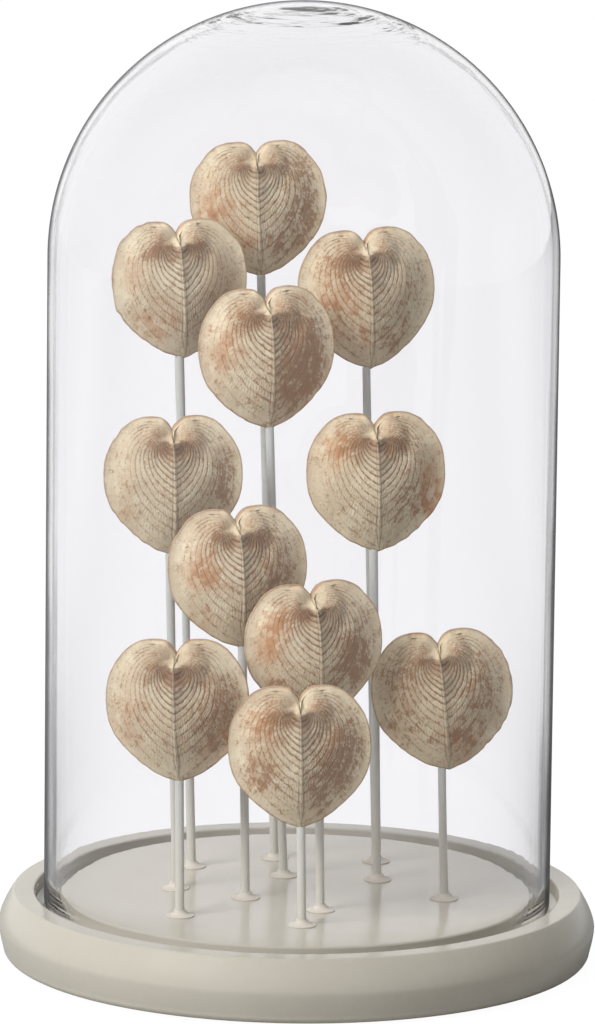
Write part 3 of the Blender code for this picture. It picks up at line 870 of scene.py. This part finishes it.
def valve_marks(points, up_mm, side, coil, edge, loop, stains, sizes):
    """How orange, brown and carved a valve is at each point."""
    across_mm = points[:, 0] * side * 1000
    keel_mm = edge[:, 1] * 1000
    whorl = np.exp(-(((points[:, 0] - 2 * sizes.loop_offset) / 0.0065) ** 2
                     + ((points[:, 2] - 0.0025) / 0.0055) ** 2))
    brown = 0.24 + whorl * 0.10
    orange = 0.03 + whorl * 0.75
    for where, height, half_width, half_height, warm, dark in stains:
        near = np.exp(-((across_mm - where) / half_width) ** 2
                      - ((up_mm - height) / half_height) ** 2)
        orange += warm * near
        brown += dark * near * 0.75
    lunule = hollow_at(points[:, 0], points[:, 2] + HOLLOW_START * 0.3)
    past = mix(1.08, 1.7, np.clip((coil[:, 0] - 1.7) / 0.9, 0, 1))
    carved = np.clip((keel_mm - 1.2) / 2.2, 0, 1) * np.clip((past - loop) / 0.4, 0, 1)
    carved = carved * (1 - lunule) * np.clip((up_mm - 3) / 8, 0.15, 1)
    band = np.clip((keel_mm - 1.0) / 3.0, 0, 1)
    brown = brown * (1 - 0.85 * lunule) * mix(0.35, 1, band)
    orange = orange * (1 - 0.85 * lunule)
    brown = np.where(points[:, 1] > 0, brown * 0.8, brown)
    return np.stack([np.clip(orange, 0, 1), np.clip(brown, 0, 1), carved,
                     np.ones(len(points))], 1)


def valve_mesh(name, side, place, size, stains, seed, sizes, material):
    """One valve in its place, with its coil, edges and stains as mesh layers."""
    valve = Valve(sizes, size, seed)
    points, coil, edge, loop = (
        np.concatenate(part) for part in (valve.rows, valve.coils, valve.edges, valve.loops))
    drop = -float(coil_point(sizes, np.array([valve.first_turn]), valve.ragged)[1][0])
    up_mm = (points[:, 2] + drop) * 1000
    marks = valve_marks(points, up_mm, side, coil, edge, loop, stains, sizes)
    points[:, 2] += drop
    points[:, 0] *= side
    world = np.array(place.to_3x3()) @ (points * size).T
    points = world.T + np.array(place.translation)

    mesh = plain_mesh(name, points.tolist(), (), valve.faces, material)
    order = np.zeros(len(mesh.loops), dtype=np.int32)
    mesh.loops.foreach_get("vertex_index", order)
    for title, values in (("coil", coil), ("edge", edge)):
        layer = mesh.uv_layers.new(name=title)
        layer.data.foreach_set("uv", values[order].astype(np.float32).ravel())
    layer = mesh.color_attributes.new(name="marks", type="FLOAT_COLOR", domain="POINT")
    layer.data.foreach_set("color", marks.astype(np.float32).ravel())
    outward(mesh)
    mesh.shade_smooth()
    mesh.set_sharp_from_angle(angle=math.radians(60))
    return mesh


def settle(piece, body, slot, *nodes):
    """Hide the parts that a piece stands for and put it on the body that it moves with."""
    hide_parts(*nodes)
    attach(piece, body)


def stand(name, piece, spots, material, sharp, slot, nodes):
    """Stand a copy of a piece on each spot of the base, then drop the piece itself."""
    copies = grow(name, plain_mesh(name + "_spots", spots),
                  tree_named("Stand on points", stand_tree),
                  {"Piece": piece, "Material": material}, math.radians(sharp))
    bpy.data.objects.remove(piece)
    settle(copies, "base", slot, *nodes)


def numbered(word):
    return [f"{word}_{number:02d}" for number in range(1, len(SHELLS) + 1)]


class Maker:
    """Hands the sizes and colours to what an operator makes."""

    def execute(self, context):
        self.make(context.scene.cloche_sizes, context.scene.cloche_colours)
        return {"FINISHED"}


class MakeStudio(Maker, bpy.types.Operator):
    """Set up the floor, the lamps, the sky and the camera"""
    bl_idname = "cloche.make_studio"
    bl_label = "Studio"

    def make(self, sizes, colours):
        self.floor()
        self.sky()
        self.lamps()
        self.camera()

    def floor(self):
        corners = [(-FLOOR_HALF, FLOOR_FRONT, 0), (FLOOR_HALF, FLOOR_FRONT, 0),
                   (FLOOR_HALF, FLOOR_BACK, 0), (-FLOOR_HALF, FLOOR_BACK, 0)]
        link("floor", plain_mesh("floor", corners, (), [(0, 1, 2, 3)],
                                          studio_floor()))

    def sky(self):
        world = bpy.data.worlds.new("studio_sky")
        bpy.context.scene.world = world
        world.use_nodes = True
        sky = Graph(world.node_tree)
        seen, through, scattered, within, _ = ray_kinds(sky)
        towards = sky.add("TexCoord", output="Generated")
        across, back = sky.axis(towards, 0), sky.axis(towards, 1)
        behind = SKY_ASIDE + back.step(-0.25, 0.45) * (1 - SKY_ASIDE)
        left = (across * -1).step(0.2, 1.0)
        mirrored = 0.6 + back.step(0.3, 0.9) * 0.4 - across * 0.12 + left * 0.06
        rest = (1 - scattered) * (through * behind + (1 - through) * mirrored)
        rest = rest + scattered * SKY_SCATTERED + within * SKY_WITHIN
        strength = seen + (1 - seen) * rest
        light = world.node_tree.nodes["Background"]
        light.inputs["Color"].default_value = (1, 1, 1, 1)
        world.node_tree.links.new(strength.socket, light.inputs["Strength"])

    def lamps(self):
        for name, spot, reach, power in LAMPS:
            lamp = bpy.data.lights.new(name, "AREA")
            lamp.shape = "SQUARE"
            lamp.size = reach
            lamp.energy = power
            stand = link(name, lamp)
            stand.location = spot
            towards = LAMP_AIM - Vector(spot)
            stand.rotation_euler = towards.to_track_quat("-Z", "Y").to_euler()
            stand.visible_glossy = False
            stand.visible_transmission = False

    def camera(self):
        towards = Vector((0, math.cos(PITCH), -math.sin(PITCH)))
        data = bpy.data.cameras.new("photo_camera")
        data.sensor_width = SENSOR
        data.lens = LENS_PIXELS / PICTURE_HEIGHT * SENSOR
        data.clip_start = 0.1
        camera = link("photo_camera", data)
        turn = towards.to_track_quat("-Z", "Y").to_matrix().to_4x4()
        camera.matrix_world = (Matrix.Translation(AIM - towards * DISTANCE) @ turn
                               @ Matrix.Rotation(ROLL, 4, "Z"))
        bpy.context.scene.camera = camera
        bpy.context.scene.view_settings.view_transform = "Standard"


class MakeBase(Maker, bpy.types.Operator):
    """Turn the painted base and stick the felt pads under it"""
    bl_idname = "cloche.make_base"
    bl_label = "Base and pads"

    def make(self, sizes, colours):
        base = lathe("painted_base", base_profile(sizes), cream_paint(colours), ROUND_SIDES)
        settle(base, "base", "cream_paint", "turned_base")
        felt = pressed_felt(colours)
        radius = (PAD_HIGH.x - PAD_LOW.x) / 2
        thick = PAD_HIGH.z - PAD_LOW.z
        edge = 0.0003
        profile = [(0, 0)] + flat((0, 0), (radius - edge, 0))
        profile += arc(radius - edge, edge, edge, -90, 0, 3) + [(radius, thick)]
        profile += flat((radius, thick), (0, thick)) + [(0, thick)]
        pad = lathe("felt_disc", profile, felt, PAD_SIDES)
        nodes = [f"felt_pad_{number}" for number in range(1, 5)]
        spots = [((low.x + high.x) / 2, (low.y + high.y) / 2, low.z)
                 for low, high in (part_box(node) for node in nodes)]
        stand("felt_pads", pad, spots, felt, 40, "felt", nodes)


class MakeDome(Maker, bpy.types.Operator):
    """Blow the glass dome"""
    bl_idname = "cloche.make_dome"
    bl_label = "Glass dome"

    def make(self, sizes, colours):
        dome = lathe("blown_dome", dome_profile(sizes), clear_glass(colours), ROUND_SIDES,
                     closed=True)
        settle(dome, "dome", "clear_glass", "glass_dome")


class MakeRods(Maker, bpy.types.Operator):
    """Stand the rods in the base, with a collar round each"""
    bl_idname = "cloche.make_rods"
    bl_label = "Rods and collars"

    def make(self, sizes, colours):
        points, chain, girths = [], [], []
        top = BASE_HIGH.z
        thin = sizes.peg_radius / sizes.rod_radius
        for foot, tip, turn, tilt, size, beside, _ in SHELLS:
            start = Vector((*foot, top))
            place = shell_frame(tip, turn, tilt)
            lowest = max(SEAM_FACE, (beside - sizes.rod_radius) / size)
            lift = (keel_height(sizes, lowest) - keel_height(sizes, SEAM_FACE)) * size
            shoulder = place @ Vector((-beside, 0, lift - SEAT_GAP))
            lean = (shoulder - start).normalized()
            end = shoulder + lean * sizes.rod_bite
            here = len(points)
            points += [start - lean * sizes.rod_socket, end - lean * 0.0003, end,
                       end + lean * 0.0001, shoulder + lean * sizes.peg_length]
            girths += [1.0, 1.0, 0.9, thin, thin]
            chain += [(here + step, here + step + 1) for step in range(4)]
        mesh = plain_mesh("rod_lines", points, chain)
        mesh.attributes.new("girth", "FLOAT", "POINT").data.foreach_set("value", girths)
        paint = rod_paint(colours)
        rods = grow("painted_rods", mesh, tree_named("Round bars", rod_tree), {
            "Radius": sizes.rod_radius, "Sides": ROD_SIDES, "Material": paint},
            math.radians(40))
        settle(rods, "base", "rod_paint", *numbered("rod"))
        cream = bpy.data.materials.get("cream_paint") or cream_paint(colours)
        collar = lathe("trumpet", collar_profile(sizes), cream, COLLAR_SIDES, closed=True)
        feet = [(*shell[0], top + 0.00005) for shell in SHELLS]
        stand("rod_collars", collar, feet, cream, 50, "collar_paint", numbered("collar"))


def keel_height(sizes, across):
    """How far up from the umbo the keel is, near the tip, at a place across from the seam."""
    turns = np.linspace(-math.pi / 4, math.pi / 4, 4000)
    reach, up, _ = coil_point(sizes, turns, np.ones_like)
    return float(np.interp(across, reach, up))


def shell_frame(tip, turn, tilt):
    """A shell's place: the tip, turned about the upright and tilted sideways."""
    return (Matrix.Translation(tip) @ Matrix.Rotation(math.radians(turn), 4, "Z")
            @ Matrix.Rotation(-math.radians(tilt), 4, "Y"))


class MakeShells(Maker, bpy.types.Operator):
    """Coil the two valves of each heart cockle"""
    bl_idname = "cloche.make_shells"
    bl_label = "Shells"

    def make(self, sizes, colours):
        lime = shell_lime(colours)
        for number, (_, tip, turn, tilt, size, _, stains) in enumerate(SHELLS, 1):
            place = shell_frame(tip, turn, tilt)
            for word, side in (("left", -1), ("right", 1)):
                name = f"cockle_{number:02d}_{word}"
                mesh = valve_mesh(name, side, place, size, stains, number, sizes, lime)
                settle(link(name, mesh), "base", "shell", f"shell_{number:02d}_{word}_valve")


class ClochePanel(bpy.types.Panel):
    """Buttons and sizes in the 3D view's sidebar"""
    bl_idname = "VIEW3D_PT_cloche"
    bl_label = "Glass cloche"
    bl_space_type = "VIEW_3D"
    bl_region_type = "UI"
    bl_category = "Cloche"

    def draw(self, context):
        layout = self.layout
        for operator in OPERATORS:
            layout.operator(operator.bl_idname)
        for group in (context.scene.cloche_sizes, context.scene.cloche_colours):
            box = layout.box()
            for name in group.bl_rna.properties.keys():
                if name not in {"rna_type", "name"}:
                    box.prop(group, name)


OPERATORS = (MakeStudio, MakeBase, MakeDome, MakeRods, MakeShells)
CLASSES = (ClocheSizes, ClocheColours, *OPERATORS, ClochePanel)


def register():
    for item in CLASSES:
        bpy.utils.register_class(item)
    bpy.types.Scene.cloche_sizes = PointerProperty(type=ClocheSizes)
    bpy.types.Scene.cloche_colours = PointerProperty(type=ClocheColours)


def unregister():
    del bpy.types.Scene.cloche_colours
    del bpy.types.Scene.cloche_sizes
    for item in reversed(CLASSES):
        bpy.utils.unregister_class(item)


def main():
    register()
    for operator in OPERATORS:
        group, name = operator.bl_idname.split(".")
        getattr(getattr(bpy.ops, group), name)()


if __name__ == "__main__":
    main()
